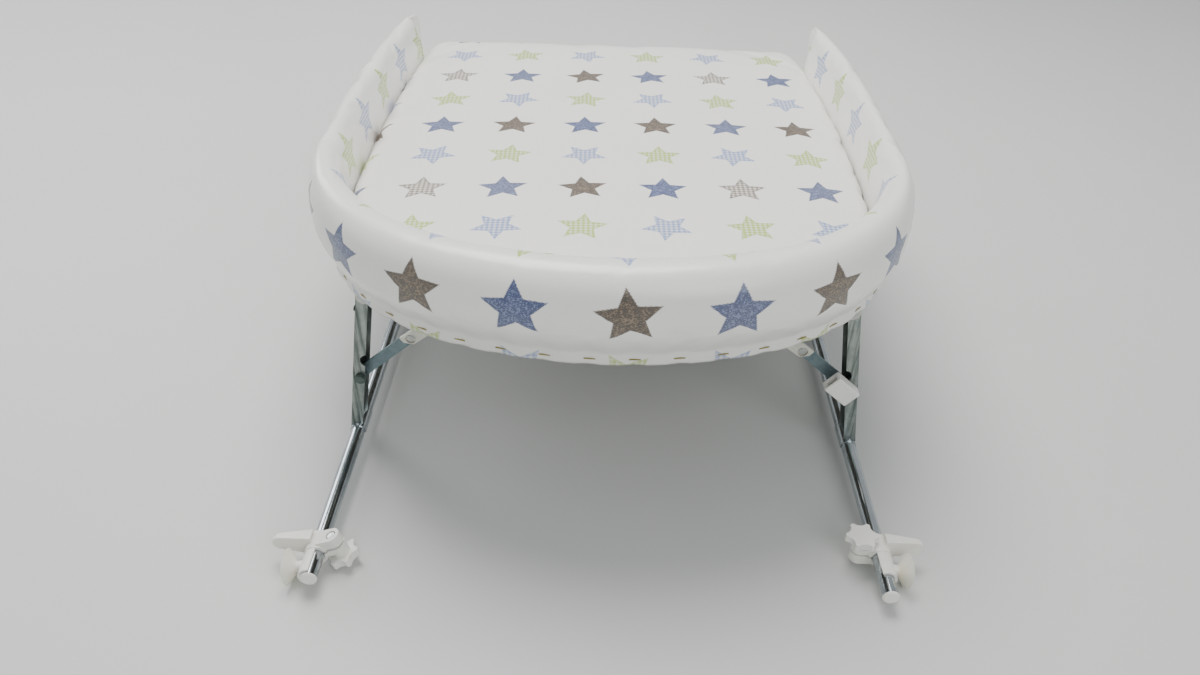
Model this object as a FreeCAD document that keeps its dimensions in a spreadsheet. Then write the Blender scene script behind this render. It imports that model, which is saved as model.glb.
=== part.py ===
"""Folding changing top that stands on, or hangs across, a bathtub.

Frame: millimetres, +Z up, -Y the closed end of the cushion rim, origin on the
floor below the middle.  Everything under the board is twofold symmetric about
the vertical axis, so each rear piece is a front piece turned by half a turn.
"""
import FreeCAD
import Part
import math
import os
from FreeCAD import Placement, Rotation, Vector

doc = FreeCAD.newDocument("changing_top")

# ---------------------------------------------------------------- dimensions
DIMENSIONS = [
    # rails
    ("rail_length", 950.0), ("rail_radius", 8.0), ("rail_bore", 6.8),
    ("rail_axis_x", 280.0), ("rail_axis_z", 20.0),
    ("cap_head_radius", 8.3), ("cap_head_depth", 2.4), ("cap_plug_radius", 6.8), ("cap_plug_depth", 12.0),
    # legs, hinged under the board
    ("hinge_x", 252.0), ("hinge_y", 248.0), ("hinge_z", 203.0),
    ("leg_width", 25.0), ("leg_depth", 13.0), ("leg_sheet", 1.5), ("leg_back", 8.8), ("leg_head", 6.0),
    ("hinge_pin_radius", 3.0), ("brace_pin_radius", 3.0), ("pin_fit", 0.05),
    ("brace_pin_drop", 109.0), ("saddle_wall", 1.0), ("saddle_length", 34.0), ("saddle_rivet", 2.0),
    # two-link knee brace in each leg
    ("lower_link_length", 76.6), ("lower_link_tail", 20.0), ("lower_link_height", 13.0),
    ("lower_link_sheet", 2.2), ("lower_link_rise", 40.7),
    ("upper_link_height", 14.5), ("upper_link_sheet", 4.0), ("upper_link_end", 9.5),
    ("knee_corner", 7.8), ("knee_recess_radius", 5.7), ("knee_recess_depth", 2.6), ("knee_head_radius", 4.6),
    ("brace_pivot_x", 163.0), ("brace_pivot_z", 181.0),
    # lock block on the leg
    ("lock_length", 34.0), ("lock_start", -1.0), ("lock_height", 22.0), ("lock_depth", 13.0), ("lock_travel", 6.0),
    # board and soft parts
    ("board_bottom", 215.0), ("board_sheet", 15.0), ("skirt_sheet", 1.2), ("skirt_height", 18.0),
    ("pad_height", 24.0), ("rim_height", 84.0), ("rim_rear_y", 345.0), ("pad_rear_y", 380.0),
    ("rim_front_y", 388.0), ("pad_front_y", 322.0),
    ("staple_length", 11.0), ("staple_pitch", 41.0), ("staple_wire", 0.6), ("staple_gap", 0.4),
    # clamps
    ("clamp_radius", 11.8), ("clamp_bore", 8.35), ("clamp_width", 22.0), ("sleeve_length", 27.0),
    ("sleeve_radius", 10.9), ("lug_height", 8.0), ("lug_top", 12.0), ("lug_radius", 8.5), ("clamp_slit", 2.4),
    ("bolt_offset", 19.0), ("bolt_radius", 2.5), ("bolt_head_radius", 4.3), ("bolt_head_depth", 3.2),
    ("recess_radius", 5.0), ("knob_radius", 16.5), ("knob_depth", 8.0), ("knob_neck_radius", 8.0),
    ("knob_neck", 5.2), ("knob_gap", 0.3),
    ("arm_reach", 44.0), ("arm_top", 15.0), ("arm_root", 12.5), ("cup_radius", 17.93), ("cup_seat", 12.5),
    ("front_clamp_left_y", 436.0), ("front_clamp_right_y", 417.0),
]

sheet = doc.addObject("Spreadsheet::Sheet", "dims")
for row, (alias, value) in enumerate(DIMENSIONS, start=1):
    sheet.set("A%d" % row, alias)
    sheet.set("B%d" % row, str(value))
    sheet.setAlias("B%d" % row, alias)
doc.recompute()


def dim(alias):
    """Value of a driving dimension, read back from the sheet."""
    return float(sheet.get(alias))


LEAN = math.degrees(math.atan2(dim("rail_axis_x") - dim("hinge_x"), dim("hinge_z") - dim("rail_axis_z")))
LEG_REACH = math.hypot(dim("rail_axis_x") - dim("hinge_x"), dim("hinge_z") - dim("rail_axis_z"))
UPPER_LAYER = 2.2          # where the upper link starts, outward from the middle of the leg
LOWER_LAYER = -0.6         # where the lower link starts
EAR_LAYER = 6.6            # where the ear of the brace bracket starts
EAR_SHEET = 2.0
FINAL = []                 # finished sub-parts, in the order they are made


# ------------------------------------------------------------------- helpers
def placed(x=0.0, y=0.0, z=0.0, axis=(0, 0, 1), angle=0.0):
    return Placement(Vector(x, y, z), Rotation(Vector(*axis), angle))


HALF_TURN = placed(axis=(0, 0, 1), angle=180.0)


def primitive(kind, sizes, at=None):
    """Part primitive whose sizes are bound to the sheet."""
    obj = doc.addObject("Part::" + kind, kind.lower())
    for name, expression in sizes.items():
        obj.setExpression(name, expression)
    obj.Placement = at or placed()
    return obj


def cylinder(radius, length, at=None):
    return primitive("Cylinder", {"Radius": radius, "Height": length}, at)


def box(length, width, height, at=None):
    return primitive("Box", {"Length": length, "Width": width, "Height": height}, at)


def cut(base, *tools):
    for tool in tools:
        step = doc.addObject("Part::Cut", "cut")
        step.Base = base
        step.Tool = tool
        base = step
    return base


def fuse(*shapes):
    step = doc.addObject("Part::MultiFuse", "fuse")
    step.Shapes = list(shapes)
    return step


def group(*shapes):
    """Separate solids that share one node."""
    step = doc.addObject("Part::Compound", "group")
    step.Links = list(shapes)
    return step


def finish(label, obj, at=None):
    """Name a sub-part, put it in place and keep it for the export."""
    obj.Label = label
    if at is not None:
        obj.Placement = at.multiply(obj.Placement)
    FINAL.append(obj)
    return obj


def repeat(label, source, at):
    """Another sub-part with the shape of source, in its own place."""
    doc.recompute()
    copy = doc.addObject("Part::Feature", label)
    copy.Shape = source.Shape.copy()
    copy.Label = label
    copy.Placement = at.multiply(source.Placement)
    FINAL.append(copy)
    return copy


def new_body(name):
    return doc.addObject("PartDesign::Body", name)


def sketch(body, plane, geometry, offset=0.0):
    """Sketch on one of the body's origin planes, made of the given geometry."""
    feature = next(f for f in body.Origin.OriginFeatures if f.Role == plane)
    drawing = body.newObject("Sketcher::SketchObject", "sketch")
    drawing.AttachmentSupport = [(feature, "")]
    drawing.MapMode = "FlatFace"
    drawing.AttachmentOffset = placed(z=offset)
    drawing.addGeometry(geometry, False)
    return drawing


def polygon(points):
    """Closed run of lines through 2-D points."""
    corners = [Vector(x, y, 0) for x, y in points]
    return [Part.LineSegment(a, b) for a, b in zip(corners, corners[1:] + corners[:1])]


def circle(x, y, radius):
    return [Part.Circle(Vector(x, y, 0), Vector(0, 0, 1), radius)]


def pad(body, drawing, length, midplane=False, reverse=False):
    feature = body.newObject("PartDesign::Pad", "pad")
    feature.Profile = drawing
    feature.setExpression("Length", length)
    feature.Midplane = midplane
    feature.Reversed = reverse
    return feature


def pocket(body, drawing, length, reverse=False, midplane=False):
    """Cut that is checked to have taken material away."""
    doc.recompute()
    before = body.Shape.Volume
    feature = body.newObject("PartDesign::Pocket", "pocket")
    feature.Profile = drawing
    feature.setExpression("Length", length)
    feature.Reversed = reverse
    feature.Midplane = midplane
    doc.recompute()
    if body.Shape.Volume > before - 0.01:
        raise RuntimeError("a pocket in %s cut nothing" % body.Name)
    return feature


def revolve_profile(label, points):
    """Solid of revolution about Z from half a section of (radius, height) points."""
    body = new_body(label)
    drawing = sketch(body, "XZ_Plane", polygon(points))
    turn = body.newObject("PartDesign::Revolution", "turn")
    turn.Profile = drawing
    turn.ReferenceAxis = (drawing, ["V_Axis"])
    turn.Angle = 360.0
    return body


# ------------------------------------------------- outline of the mat, in plan
def mat_outline(front_y, bow, corner, side, rear_y, rear_corner):
    """Half outline (x >= 0) from the front middle back to the rear, as three
    tangent arcs: a shallow bow, a rounded corner and an almost straight side.
    Returns the closed, mirrored wire at z = 0."""
    bow_turn = math.radians(19.5)
    corner_turn = math.radians(86.8)
    bow_centre = Vector(0, front_y + bow, 0)

    def on(centre, radius, turn):
        return centre + Vector(radius * math.sin(turn), -radius * math.cos(turn), 0)

    corner_centre = on(bow_centre, bow - corner, bow_turn)
    side_centre = on(corner_centre, corner - side, corner_turn)
    side_end = math.radians(90) + math.asin((rear_y - rear_corner - side_centre.y) / side)
    arcs = [
        (on(bow_centre, bow, 0), on(bow_centre, bow, bow_turn / 2), on(bow_centre, bow, bow_turn)),
        (on(corner_centre, corner, bow_turn), on(corner_centre, corner, (bow_turn + corner_turn) / 2),
         on(corner_centre, corner, corner_turn)),
        (on(side_centre, side, corner_turn), on(side_centre, side, (corner_turn + side_end) / 2),
         on(side_centre, side, side_end)),
    ]
    edges = [Part.Arc(*points).toShape() for points in arcs]
    last = arcs[-1][2]
    if rear_corner > 0:
        centre = last - Vector(rear_corner, 0, 0)
        diagonal = rear_corner / math.sqrt(2)
        tail = Vector(centre.x, rear_y, 0)
        edges.append(Part.Arc(last, centre + Vector(diagonal, diagonal, 0), tail).toShape())
        last = tail
    middle = Vector(0, last.y, 0)
    edges.append(Part.LineSegment(last, middle).toShape())
    mirrored = [edge.mirror(Vector(0, 0, 0), Vector(1, 0, 0)) for edge in edges]
    return Part.Wire(Part.__sortEdges__(edges + mirrored))


OUTER = {"bow": 450.0, "corner": 262.0, "side": 3000.0}
INNER = {"bow": 430.0, "corner": 224.0, "side": 2960.0}


def outer_outline(inset, rear_y, rear_corner):
    """Outline of the mat drawn in by inset all round the front and sides."""
    radii = {name: value - inset for name, value in OUTER.items()}
    return mat_outline(-dim("rim_front_y") + inset, rear_y=rear_y, rear_corner=rear_corner, **radii)


def inner_outline(inset, rear_y, rear_corner):
    radii = {name: value - inset for name, value in INNER.items()}
    return mat_outline(-dim("pad_front_y") + inset, rear_y=rear_y, rear_corner=rear_corner, **radii)


def slab(wire, bottom, height):
    return Part.Face(wire).extrude(Vector(0, 0, height)).translated(Vector(0, 0, bottom))


def soft(label, shape, at=None):
    """Sub-part whose shape comes from the outline functions."""
    obj = doc.addObject("Part::Feature", label)
    obj.Shape = shape
    return finish(label, obj, at or placed())


SCREW_RADIUS = 1.9
SCREW_DEPTH = 9.0          # into the board


def screw_places():
    """Screws of the two left leg brackets and the two left brace brackets."""
    places = []
    for y, way in ((-dim("hinge_y"), -1), (dim("hinge_y"), 1)):
        places += [(-dim("hinge_x") + 30, y - 8), (-dim("hinge_x") + 30, y + 8),
                   (-dim("brace_pivot_x") - 16, y - way * 3), (-dim("brace_pivot_x") + 16, y - way * 3)]
    return places


BOARD_INSET = 15.5
BOARD_REAR = dim("pad_rear_y") - 2.0
BOARD_TOP = dim("board_bottom") + dim("board_sheet")


def make_board():
    """Board with a blind pilot hole for each bracket screw."""
    board = slab(outer_outline(BOARD_INSET, BOARD_REAR, 45.0), dim("board_bottom"), dim("board_sheet"))
    depth = SCREW_DEPTH + 0.5
    for x, y in screw_places():
        for side in (1, -1):
            start = Vector(side * x, side * y, dim("board_bottom"))
            board = board.cut(Part.makeCylinder(SCREW_RADIUS + 0.02, depth, start))
    soft("base_board", board)


def make_skirt():
    """Band of cover sheet drawn down over the edge of the board."""
    outside = outer_outline(BOARD_INSET - dim("skirt_sheet"), BOARD_REAR + dim("skirt_sheet"), 46.0)
    inside = outer_outline(BOARD_INSET, BOARD_REAR, 45.0)
    bottom = BOARD_TOP - dim("skirt_height") + 1.5
    height = BOARD_TOP - bottom
    soft("cover_skirt", slab(outside, bottom, height).cut(slab(inside, bottom, height)))


def make_staples():
    """Wire staples that lie on the skirt, round the edge of the board."""
    wire = outer_outline(BOARD_INSET - dim("skirt_sheet"), BOARD_REAR + dim("skirt_sheet"), 46.0)
    count = int(wire.Length / dim("staple_pitch"))
    thick = dim("staple_wire")
    solids = []
    for place in wire.discretize(count + 1)[:-1]:
        nearest = min(wire.Edges, key=lambda e: e.distToShape(Part.Vertex(place))[0])
        tangent = nearest.tangentAt(nearest.Curve.parameter(place))
        heading = math.degrees(math.atan2(tangent.y, tangent.x))
        outward = Vector(tangent.y, -tangent.x, 0)
        if outward.dot(place) < 0:
            heading += 180.0
        bar = Part.makeBox(dim("staple_length"), 2 * thick, 2 * thick,
                           Vector(-dim("staple_length") / 2, -2 * thick - dim("staple_gap"), 0))
        bar.Placement = placed(place.x, place.y, BOARD_TOP - 11.0, angle=heading)
        solids.append(bar)
    soft("staples", Part.Compound(solids))


def make_pad():
    body = slab(inner_outline(1.0, dim("pad_rear_y"), 48.0), BOARD_TOP, dim("pad_height"))
    top = [e for e in body.Edges if e.BoundBox.ZMin > BOARD_TOP + dim("pad_height") - 0.1]
    soft("pad_foam", body.makeFillet(8.0, top))


def make_rim():
    """Cushion wall round the front and both sides, open at the rear."""
    outside = slab(outer_outline(0.0, dim("rim_rear_y"), 0.0), BOARD_TOP, dim("rim_height"))
    inside = slab(inner_outline(0.0, dim("rim_rear_y") + 60.0, 0.0), BOARD_TOP, dim("rim_height"))
    wall = outside.cut(inside)
    top = [e for e in wall.Edges if e.BoundBox.ZMin > BOARD_TOP + dim("rim_height") - 0.1]
    soft("rim_foam", wall.makeFillet(12.0, [e for e in top if e.Length > 60.0]))


# --------------------------------------------------------------------- rails
def make_rail(label, side):
    length = "dims.rail_length"
    tube = cut(cylinder("dims.rail_radius", length), cylinder("dims.rail_bore", length))
    along_y = placed(side * dim("rail_axis_x"), dim("rail_length") / 2, dim("rail_axis_z"), (1, 0, 0), 90.0)
    finish(label, tube, along_y)


def make_rail_caps(label, side):
    """Two plugs with a slightly domed head, one in each end of the rail."""
    head = dim("cap_head_depth")
    profile = [(0, -dim("cap_plug_depth")), (dim("cap_plug_radius"), -dim("cap_plug_depth")),
               (dim("cap_plug_radius"), 0), (dim("cap_head_radius"), 0),
               (dim("cap_head_radius"), 0.5 * head), (0.8 * dim("cap_head_radius"), head), (0, 1.2 * head)]
    ends = []
    for way in (-1, 1):
        plug = revolve_profile("cap_plug", profile)
        plug.Placement = placed(side * dim("rail_axis_x"), way * dim("rail_length") / 2,
                                dim("rail_axis_z"), (1, 0, 0), -way * 90.0)
        ends.append(plug)
    finish(label, group(*ends))


# ---------------------------------------------------------------------- legs
def leg_frame(y):
    """Place on the left side: origin on the hinge, +X inward, -Z down the leg."""
    return placed(-dim("hinge_x"), y, dim("hinge_z"), (0, 1, 0), LEAN)


def make_leg(label, y, outer_way):
    """Channel open towards the middle, with pin holes and a curved notch in
    the outer flange where the lower link swings in and out."""
    body = new_body(label)
    back = -dim("leg_back")
    front = back + dim("leg_depth")
    half = dim("leg_width") / 2
    inner = half - dim("leg_sheet")
    inside = back + dim("leg_sheet")
    profile = sketch(body, "XY_Plane", polygon([
        (back, -half), (front, -half), (front, -inner), (inside, -inner),
        (inside, inner), (front, inner), (front, half), (back, half)]), dim("leg_head"))
    pad(body, profile, "%.3f + dims.leg_head" % LEG_REACH, reverse=True)
    fit = dim("pin_fit")
    hinge_hole = sketch(body, "XZ_Plane", circle(0, 0, dim("hinge_pin_radius") + fit))
    pocket(body, hinge_hole, "dims.leg_width + 2", midplane=True)
    drop = -dim("brace_pin_drop")
    brace_hole = sketch(body, "XZ_Plane", circle(0, drop, dim("brace_pin_radius") + fit))
    pocket(body, brace_hole, "dims.leg_width + 2", midplane=True)
    foot = sketch(body, "XZ_Plane", circle(0, -LEG_REACH, dim("rail_radius") + dim("saddle_wall")))
    pocket(body, foot, "dims.leg_width + 2", midplane=True)
    notch_centre = drop + 24.0
    notch = sketch(body, "XZ_Plane", circle(front + 2.0, notch_centre, 8.0), -outer_way * (half + 1.0))
    pocket(body, notch, "dims.leg_sheet + 2", reverse=outer_way > 0)
    finish(label, body, leg_frame(y))
    return body


def brace_pin_frame(y):
    return leg_frame(y).multiply(placed(0, 0, -dim("brace_pin_drop")))


def pin_profile(steps):
    """Half section of a stepped pin from (radius, from, to) steps."""
    points = [(0, steps[0][1])]
    for radius, low, high in steps:
        points += [(radius, low), (radius, high)]
    return points + [(0, steps[-1][2])]


def across(place, outer_way):
    """Turn a piece made along +Z so that it runs along Y, outward for +Z."""
    return place.multiply(placed(axis=(1, 0, 0), angle=-90.0 * outer_way))


def make_leg_pins(label):
    """Shouldered pins that carry the lower links inside the two left legs.
    The front one ends in a button, the rear one is flat under its lock block."""
    half = dim("leg_width") / 2
    inner = half - dim("leg_sheet")
    low = LOWER_LAYER - 0.15
    high = LOWER_LAYER + dim("lower_link_sheet") + 0.15
    thin = dim("brace_pin_radius")
    pins = []
    for y, way, head in ((-dim("hinge_y"), -1, 4.0), (dim("hinge_y"), 1, 1.2)):
        steps = [(5.0, -half - 1.8, -half), (thin, -half, -inner), (4.5, -inner, low), (thin, low, high),
                 (4.5, high, inner), (thin, inner, half), (6.0, half, half + head),
                 (5.0, half + head, half + head + 1.0)]
        pin = revolve_profile("leg_pin", pin_profile(steps))
        pin.Placement = across(brace_pin_frame(y), way)
        pins.append(pin)
    return finish(label, group(*pins))


def make_saddles(label):
    """Collars that hold the two left legs on the rail."""
    collars = []
    for y in (-dim("hinge_y"), dim("hinge_y")):
        wall = dim("rail_radius") + dim("saddle_wall")
        length = dim("saddle_length")
        shell = cut(cylinder("dims.rail_radius + dims.saddle_wall", "dims.saddle_length"),
                    cylinder("dims.rail_radius", "dims.saddle_length"),
                    box("60", "30", "dims.saddle_length", placed(-30, -30 - 2.0, 0)))
        shell.Placement = placed(-dim("rail_axis_x"), y + length / 2, dim("rail_axis_z"), (1, 0, 0), 90.0)
        collars.append(shell)
        for way in (-1, 1):
            rivet = primitive("Sphere", {"Radius": "dims.saddle_rivet"})
            rivet.Angle1 = 0
            rivet.Placement = placed(-dim("rail_axis_x"), y + way * (length / 2 - 2.2),
                                     dim("rail_axis_z") + wall - 0.6)
            collars[-1] = fuse(collars[-1], rivet)
    return finish(label, group(*collars))


def make_bumpers(label):
    """Rubber studs: one on the back of the front leg, one in the rear leg."""
    drop = -26.0
    front = cylinder("3", "3.5", leg_frame(-dim("hinge_y")).multiply(
        placed(-dim("leg_back"), 0, drop, (0, 1, 0), -90.0)))
    start = -dim("leg_back") + dim("leg_sheet")
    rear = cylinder("3", "dims.leg_depth", leg_frame(dim("hinge_y")).multiply(
        placed(start, -7.5, drop, (0, 1, 0), 90.0)))
    return finish(label, group(front, rear))


# --------------------------------------------------------- brackets and pins
PIVOT_RADIUS = 2.5


def ear_outline(width, drop, radius):
    """Ear hanging from z = 0 with a round lower end centred at z = -drop."""
    start = Vector(-radius, -drop, 0)
    end = Vector(radius, -drop, 0)
    low = Vector(0, -drop - radius, 0)
    return [Part.Arc(start, low, end),
            Part.LineSegment(end, Vector(width / 2, 0, 0)),
            Part.LineSegment(Vector(width / 2, 0, 0), Vector(-width / 2, 0, 0)),
            Part.LineSegment(Vector(-width / 2, 0, 0), start)]


def make_leg_bracket(label, y):
    """Bent plate under the board with two ears outside the leg."""
    body = new_body(label)
    sheet_depth = 2.0
    ear_at = dim("leg_width") / 2 + 0.4
    reach = ear_at + sheet_depth
    plate = sketch(body, "XY_Plane", polygon([(-8, -reach), (44, -reach), (44, reach), (-8, reach)]))
    pad(body, plate, "2", reverse=True)
    drop = dim("board_bottom") - dim("hinge_z")
    for way in (-1, 1):
        middle = way * (ear_at + sheet_depth / 2)
        ear = sketch(body, "XZ_Plane", ear_outline(16.0, drop, 8.0), -middle)
        pad(body, ear, "2", midplane=True)
    pin_hole = sketch(body, "XZ_Plane", circle(0, -drop, dim("hinge_pin_radius") + dim("pin_fit")))
    pocket(body, pin_hole, "%.3f" % (2 * reach + 2), midplane=True)
    for x, hole_y in ((30, -8), (30, 8)):
        hole = sketch(body, "XY_Plane", circle(x, hole_y, 2.0))
        pocket(body, hole, "3")
    return finish(label, body, placed(-dim("hinge_x"), y, dim("board_bottom")))


def make_brace_bracket(label, y, way):
    """Plate with one ear, which carries the upper link on its inner face."""
    body = new_body(label)
    plate = sketch(body, "XY_Plane", polygon([(-22, -9), (22, -9), (22, 9), (-22, 9)]))
    pad(body, plate, "2", reverse=True)
    drop = dim("board_bottom") - dim("brace_pivot_z")
    ear = sketch(body, "XZ_Plane", ear_outline(20.0, drop, 7.0), -way * (EAR_LAYER + EAR_SHEET / 2))
    pad(body, ear, "2", midplane=True)
    pin_hole = sketch(body, "XZ_Plane", circle(0, -drop, PIVOT_RADIUS + 0.02))
    pocket(body, pin_hole, "30", midplane=True)
    for x in (-16, 16):
        hole = sketch(body, "XY_Plane", circle(x, -way * 3, 2.0))
        pocket(body, hole, "3")
    return finish(label, body, placed(-dim("brace_pivot_x"), y, dim("board_bottom")))


def both_sides(make_left):
    """Left pieces and the same turned by half a turn for the right."""
    left = make_left()
    doc.recompute()
    right = []
    for piece in left:
        copy = doc.addObject("Part::Feature", "turned")
        copy.Shape = piece.Shape.copy()
        copy.Placement = HALF_TURN.multiply(piece.Placement)
        right.append(copy)
    return group(*(left + right))


def hinge_pins():
    half = dim("leg_width") / 2 + 2.4
    steps = [(6.0, -half - 2.0, -half), (dim("hinge_pin_radius"), -half, half), (6.0, half, half + 2.0)]
    pins = []
    for y in (-dim("hinge_y"), dim("hinge_y")):
        pin = revolve_profile("hinge_pin", pin_profile(steps))
        pin.Placement = across(placed(-dim("hinge_x"), y, dim("hinge_z")), 1)
        pins.append(pin)
    return pins


def pivot_pins():
    ear_outside = EAR_LAYER + EAR_SHEET
    steps = [(PIVOT_RADIUS, UPPER_LAYER - 0.2, ear_outside), (4.5, ear_outside, ear_outside + 1.5)]
    pins = []
    for y, way in ((-dim("hinge_y"), -1), (dim("hinge_y"), 1)):
        pin = revolve_profile("pivot_pin", pin_profile(steps))
        pin.Placement = across(placed(-dim("brace_pivot_x"), y, dim("brace_pivot_z")), way)
        pins.append(pin)
    return pins


def bracket_screws():
    """Pan head screws through the bracket plates into the board."""
    steps = [(3.6, -4.2, -2.0), (SCREW_RADIUS, -2.0, SCREW_DEPTH)]
    screws = []
    for x, y in screw_places():
        screw = revolve_profile("screw", pin_profile(steps))
        screw.Placement = placed(x, y, dim("board_bottom"))
        screws.append(screw)
    return screws


# --------------------------------------------------------------- brace links
def knee_place():
    """Knee on the left side, as (x, z)."""
    lean = math.radians(LEAN)
    rise = math.radians(dim("lower_link_rise"))
    pin_x = -dim("hinge_x") - dim("brace_pin_drop") * math.sin(lean)
    pin_z = dim("hinge_z") - dim("brace_pin_drop") * math.cos(lean)
    reach = dim("lower_link_length")
    return pin_x, pin_z, pin_x + reach * math.cos(rise), pin_z + reach * math.sin(rise)


PIN_X, PIN_Z, KNEE_X, KNEE_Z = knee_place()
UPPER_RUN = -dim("brace_pivot_x") - KNEE_X
UPPER_LIFT = dim("brace_pivot_z") - KNEE_Z
UPPER_LENGTH = math.hypot(UPPER_RUN, UPPER_LIFT)
UPPER_RISE = math.degrees(math.atan2(UPPER_LIFT, UPPER_RUN))


def bar_outline(start, end, half, round_start=True, round_end=True):
    """Bar along X from start to end, half its height, with round or square ends."""
    low_start = Vector(start, -half, 0)
    low_end = Vector(end, -half, 0)
    top_end = Vector(end, half, 0)
    top_start = Vector(start, half, 0)
    geometry = [Part.LineSegment(low_start, low_end), Part.LineSegment(top_end, top_start)]
    if round_end:
        geometry.append(Part.Arc(low_end, Vector(end + half, 0, 0), top_end))
    else:
        geometry.append(Part.LineSegment(low_end, top_end))
    if round_start:
        geometry.append(Part.Arc(top_start, Vector(start - half, 0, 0), low_start))
    else:
        geometry.append(Part.LineSegment(top_start, low_start))
    return geometry


def link_frame(x, z, y, rise):
    return placed(x, y, z, (0, 1, 0), -rise)


def make_lower_link(label, y, way):
    """Flat bar from the leg pin past the knee, with two small dimples."""
    body = new_body(label)
    start = LOWER_LAYER if way > 0 else -LOWER_LAYER - dim("lower_link_sheet")
    end = dim("lower_link_length") + dim("lower_link_tail")
    bar = sketch(body, "XZ_Plane", bar_outline(0, end, dim("lower_link_height") / 2, round_end=False),
                 -start)
    pad(body, bar, "dims.lower_link_sheet", reverse=True)
    for x, radius in ((0, dim("brace_pin_radius") + dim("pin_fit")), (dim("lower_link_length"), 2.6)):
        hole = sketch(body, "XZ_Plane", circle(x, 0, radius))
        pocket(body, hole, "12", midplane=True)
    outer_face = start + (dim("lower_link_sheet") if way > 0 else 0.0)
    for x in (24.0, 32.0):
        dimple = sketch(body, "XZ_Plane", circle(x, 0.5, 1.1), -outer_face)
        pocket(body, dimple, "0.5", reverse=way > 0)
    return finish(label, body, link_frame(PIN_X, PIN_Z, y, dim("lower_link_rise")))


def make_upper_link(label, y, way):
    """Plate from the knee up to the board bracket, recessed for the rivet.  Its
    lower corner at the knee is cut off, so that it folds up inside the leg."""
    body = new_body(label)
    start = UPPER_LAYER if way > 0 else -UPPER_LAYER - dim("upper_link_sheet")
    half = dim("upper_link_height") / 2
    outline = bar_outline(-dim("upper_link_end"), UPPER_LENGTH, half, round_start=False)
    bar = sketch(body, "XZ_Plane", outline, -start)
    pad(body, bar, "dims.upper_link_sheet", reverse=True)
    end = -dim("upper_link_end")
    cut_off = dim("knee_corner")
    corner = sketch(body, "XZ_Plane", polygon([
        (end - 1, -half - 1), (end + cut_off + 1, -half - 1), (end - 1, -half + cut_off + 1)]))
    pocket(body, corner, "14", midplane=True)
    for x, radius in ((0, 2.5), (UPPER_LENGTH, 2.5 + dim("pin_fit"))):
        hole = sketch(body, "XZ_Plane", circle(x, 0, radius))
        pocket(body, hole, "14", midplane=True)
    outer_face = start + (dim("upper_link_sheet") if way > 0 else 0.0)
    recess = sketch(body, "XZ_Plane", circle(0, 0, dim("knee_recess_radius")), -outer_face)
    pocket(body, recess, "dims.knee_recess_depth", reverse=way > 0)
    return finish(label, body, link_frame(KNEE_X, KNEE_Z, y, UPPER_RISE))


def make_knee_rivet(label, y, way):
    floor = UPPER_LAYER + dim("upper_link_sheet") - dim("knee_recess_depth")
    steps = [(2.5, UPPER_LAYER - 0.1, floor), (dim("knee_head_radius"), floor, floor + 0.9),
             (0.75 * dim("knee_head_radius"), floor + 0.9, floor + 1.6)]
    rivet = revolve_profile(label, pin_profile(steps))
    return finish(label, rivet, across(placed(KNEE_X, y, KNEE_Z), way))


def make_lock(label):
    """Plastic catch over the end of the brace on the left rear leg."""
    half = dim("lock_height") / 2
    low = dim("lock_start")
    face = dim("leg_width") / 2 + 0.35
    shell = box("dims.lock_length", "dims.lock_depth", "dims.lock_height", placed(low, face, -half))
    rounded = doc.addObject("Part::Fillet", "rounded")
    rounded.Base = shell
    doc.recompute()
    edges = [(n, 2.0, 2.0) for n, e in enumerate(shell.Shape.Edges, start=1)
             if e.BoundBox.YMax > face + 0.1 and e.Length > 1]
    rounded.Edges = edges
    mouth = box("24", "8", "14", placed(low + dim("lock_length") - 20.0, face + 2.6, -7))
    slot = fuse(box("dims.lock_travel", "2.6", "13.4", placed(-dim("lock_travel"), face - 0.1, -6.7)),
                cylinder("6.7", "2.6", placed(0, face + 2.5, 0, (1, 0, 0), 90.0)),
                cylinder("6.7", "2.6", placed(-dim("lock_travel"), face + 2.5, 0, (1, 0, 0), 90.0)))
    block = cut(rounded, mouth, slot)
    return finish(label, block, link_frame(PIN_X, PIN_Z, dim("hinge_y"), dim("lower_link_rise")))


# -------------------------------------------------------------------- clamps
def clamp_frame(y):
    """Ring centre of a left clamp: +X inward, -Y towards the rail's end."""
    return placed(-dim("rail_axis_x"), y, dim("rail_axis_z"))


def along(y, x=0.0, z=0.0):
    """Place for a cylinder that starts at y and runs towards +Y."""
    return placed(x, y, z, (1, 0, 0), -90.0)


def jaw_frame(tilt):
    """Frame of the jaws, turned up about the rail by tilt."""
    return placed(axis=(0, 1, 0), angle=-tilt)


def cup_y(end):
    return end * (dim("clamp_width") / 2 + 0.5 * dim("sleeve_length"))


def cup_frame(end, droop):
    """Frame on the rail's axis whose Z points outward, tipped down by droop."""
    return placed(0, cup_y(end), 0, (0, 1, 0), -90.0 - droop)


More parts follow.
